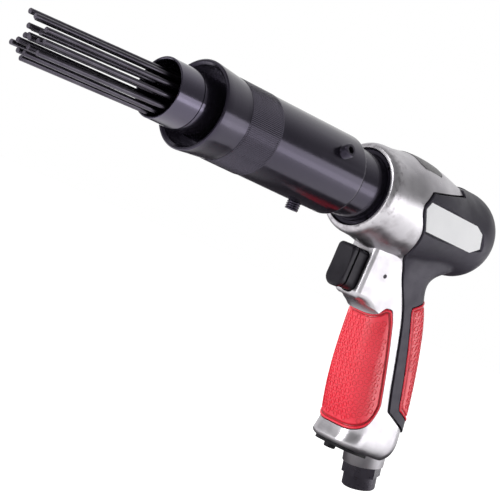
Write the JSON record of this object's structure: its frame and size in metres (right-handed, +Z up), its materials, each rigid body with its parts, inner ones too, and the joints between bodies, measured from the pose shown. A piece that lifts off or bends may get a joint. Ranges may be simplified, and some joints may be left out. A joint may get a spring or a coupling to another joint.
{
  "type": "air hammer",
  "caption": "Pistol-grip air hammer with a needle scaler head: cast body, soft cover and grips, trigger, sleeve, guide tube and loose needles driven by a piston and anvil.",
  "frame": {"origin": "centre of the mouth of the threaded air inlet under the handle", "axes": "+X backwards along the barrel, away from the needles; +Y to the tool's right; +Z up from the handle to the barrel"},
  "size_m": [0.3691, 0.062, 0.1933],
  "materials": {
    "cast_aluminium": "polished casting",
    "soft_cover": "soft satin",
    "red_rubber": "textured",
    "label_white": "gloss",
    "badge_grey": "satin",
    "trigger_black": "satin",
    "black_steel": "gloss black",
    "needle_steel": "dark hardened",
    "plain_steel": "ground",
    "valve_brass": "turned",
    "seal_rubber": "matte",
    "muffler_felt": "felt"
  },
  "bodies": {
    "tool": {"body": "cast_aluminium", "rear_boot": "soft_cover", "grip_front": "red_rubber", "grip_rear": "red_rubber", "label_plate": "label_white", "top_badge": "badge_grey", "needle_sleeve": "black_steel", "retaining_ring": "black_steel", "cylinder": "black_steel", "set_screws": "black_steel", "inlet_bushing": "black_steel", "exhaust_plate": "black_steel", "exhaust_screw": "black_steel", "needle_spring": "plain_steel", "valve_block": "plain_steel", "valve_cover": "plain_steel", "trigger_pin": "plain_steel", "throttle_spring": "plain_steel", "throttle_bush": "valve_brass", "inlet_strainer": "valve_brass", "cylinder_seal": "seal_rubber", "throttle_seal": "seal_rubber", "inlet_washer": "seal_rubber", "exhaust_muffler": "muffler_felt"},
    "trigger": {"trigger": "trigger_black"},
    "throttle_valve": {"throttle_valve": "plain_steel"},
    "piston": {"piston": "plain_steel"},
    "valve_disc": {"valve_disc": "plain_steel"},
    "anvil": {"anvil": "plain_steel"},
    "needle_holder": {"needle_holder": "plain_steel"},
    "front_tube": {"front_tube": "black_steel"},
    "needle_01": {"needle_01": "needle_steel"},
    "needle_02": {"needle_02": "needle_steel"},
    "needle_03": {"needle_03": "needle_steel"},
    "needle_04": {"needle_04": "needle_steel"},
    "needle_05": {"needle_05": "needle_steel"},
    "needle_06": {"needle_06": "needle_steel"},
    "needle_07": {"needle_07": "needle_steel"},
    "needle_08": {"needle_08": "needle_steel"},
    "needle_09": {"needle_09": "needle_steel"},
    "needle_10": {"needle_10": "needle_steel"},
    "needle_11": {"needle_11": "needle_steel"},
    "needle_12": {"needle_12": "needle_steel"},
    "needle_13": {"needle_13": "needle_steel"},
    "needle_14": {"needle_14": "needle_steel"},
    "needle_15": {"needle_15": "needle_steel"},
    "needle_16": {"needle_16": "needle_steel"},
    "needle_17": {"needle_17": "needle_steel"},
    "needle_18": {"needle_18": "needle_steel"},
    "needle_19": {"needle_19": "needle_steel"}
  },
  "joints": [
    {"name": "trigger_pull", "type": "slide", "parent": "tool", "child": "trigger", "axis": [1, 0, 0], "range_m": [0, 0.005], "stiffness_N_per_m": 1500, "springref_m": -0.004},
    {"name": "throttle_open", "type": "slide", "parent": "tool", "child": "throttle_valve", "axis": [1, 0, 0], "range_m": [0, 0.005], "deforming": ["throttle_spring"]},
    {"name": "piston_stroke", "type": "slide", "parent": "tool", "child": "piston", "axis": [-1, 0, 0], "range_m": [0, 0.0315]},
    {"name": "valve_shift", "type": "slide", "parent": "tool", "child": "valve_disc", "axis": [1, 0, 0], "range_m": [0, 0.0014]},
    {"name": "anvil_stroke", "type": "slide", "parent": "tool", "child": "anvil", "axis": [-1, 0, 0], "range_m": [0, 0.006]},
    {"name": "holder_slide", "type": "slide", "parent": "tool", "child": "needle_holder", "axis": [-1, 0, 0], "range_m": [0, 0.01], "stiffness_N_per_m": 2000, "springref_m": -0.01, "deforming": ["needle_spring"]},
    {"name": "tube_push", "type": "slide", "parent": "tool", "child": "front_tube", "axis": [1, 0, 0], "range_m": [0, 0.008], "stiffness_N_per_m": 2000, "springref_m": -0.01, "deforming": ["needle_spring"]},
    {"name": "needle_01_slide", "type": "slide", "parent": "needle_holder", "child": "needle_01", "axis": [-0.9992, 0, -0.0387], "range_m": [-0.0095, 0.0125]},
    {"name": "needle_02_slide", "type": "slide", "parent": "needle_holder", "child": "needle_02", "axis": [-0.9993, -0.0016, -0.0384], "range_m": [-0.0115, 0.0105]},
    {"name": "needle_03_slide", "type": "slide", "parent": "needle_holder", "child": "needle_03", "axis": [-0.9991, 0.0045, -0.0411], "range_m": [-0.0065, 0.0155]},
    {"name": "needle_04_slide", "type": "slide", "parent": "needle_holder", "child": "needle_04", "axis": [-0.9994, -0.0038, -0.0353], "range_m": [-0.0085, 0.0135]},
    {"name": "needle_05_slide", "type": "slide", "parent": "needle_holder", "child": "needle_05", "axis": [-0.9994, 0, -0.0349], "range_m": [-0.0095, 0.0125]},
    {"name": "needle_06_slide", "type": "slide", "parent": "needle_holder", "child": "needle_06", "axis": [-0.9996, -0.0045, -0.0287], "range_m": [-0.0134, 0.0085]},
    {"name": "needle_07_slide", "type": "slide", "parent": "needle_holder", "child": "needle_07", "axis": [-0.9994, 0, -0.0349], "range_m": [-0.0065, 0.0155]},
    {"name": "needle_08_slide", "type": "slide", "parent": "needle_holder", "child": "needle_08", "axis": [-0.9994, 0, -0.0349], "range_m": [-0.0155, 0.0065]},
    {"name": "needle_09_slide", "type": "slide", "parent": "needle_holder", "child": "needle_09", "axis": [-0.9994, 0, -0.0349], "range_m": [-0.0155, 0.0065]},
    {"name": "needle_10_slide", "type": "slide", "parent": "needle_holder", "child": "needle_10", "axis": [-0.9994, 0, -0.0349], "range_m": [-0.0095, 0.0125]},
    {"name": "needle_11_slide", "type": "slide", "parent": "needle_holder", "child": "needle_11", "axis": [-0.9994, 0, -0.0349], "range_m": [-0.0085, 0.0135]},
    {"name": "needle_12_slide", "type": "slide", "parent": "needle_holder", "child": "needle_12", "axis": [-0.9992, -0.0066, -0.0387], "range_m": [-0.0095, 0.0125]},
    {"name": "needle_13_slide", "type": "slide", "parent": "needle_holder", "child": "needle_13", "axis": [-0.9996, 0.0038, -0.0283], "range_m": [-0.0124, 0.0095]},
    {"name": "needle_14_slide", "type": "slide", "parent": "needle_holder", "child": "needle_14", "axis": [-0.9994, 0, -0.0349], "range_m": [-0.0095, 0.0125]},
    {"name": "needle_15_slide", "type": "slide", "parent": "needle_holder", "child": "needle_15", "axis": [-0.9997, -0.0058, -0.0249], "range_m": [-0.0094, 0.0125]},
    {"name": "needle_16_slide", "type": "slide", "parent": "needle_holder", "child": "needle_16", "axis": [-0.9994, 0, -0.0349], "range_m": [-0.0115, 0.0105]},
    {"name": "needle_17_slide", "type": "slide", "parent": "needle_holder", "child": "needle_17", "axis": [-0.9994, 0, -0.0349], "range_m": [-0.0045, 0.0175]},
    {"name": "needle_18_slide", "type": "slide", "parent": "needle_holder", "child": "needle_18", "axis": [-0.999, -0.0133, -0.0426], "range_m": [-0.0045, 0.0174]},
    {"name": "needle_19_slide", "type": "slide", "parent": "needle_holder", "child": "needle_19", "axis": [-0.9994, 0, -0.0349], "range_m": [-0.0065, 0.0155]}
  ],
  "couplings": [
    {"joint": "throttle_open", "follows": "trigger_pull", "ratio": 1}
  ]
}
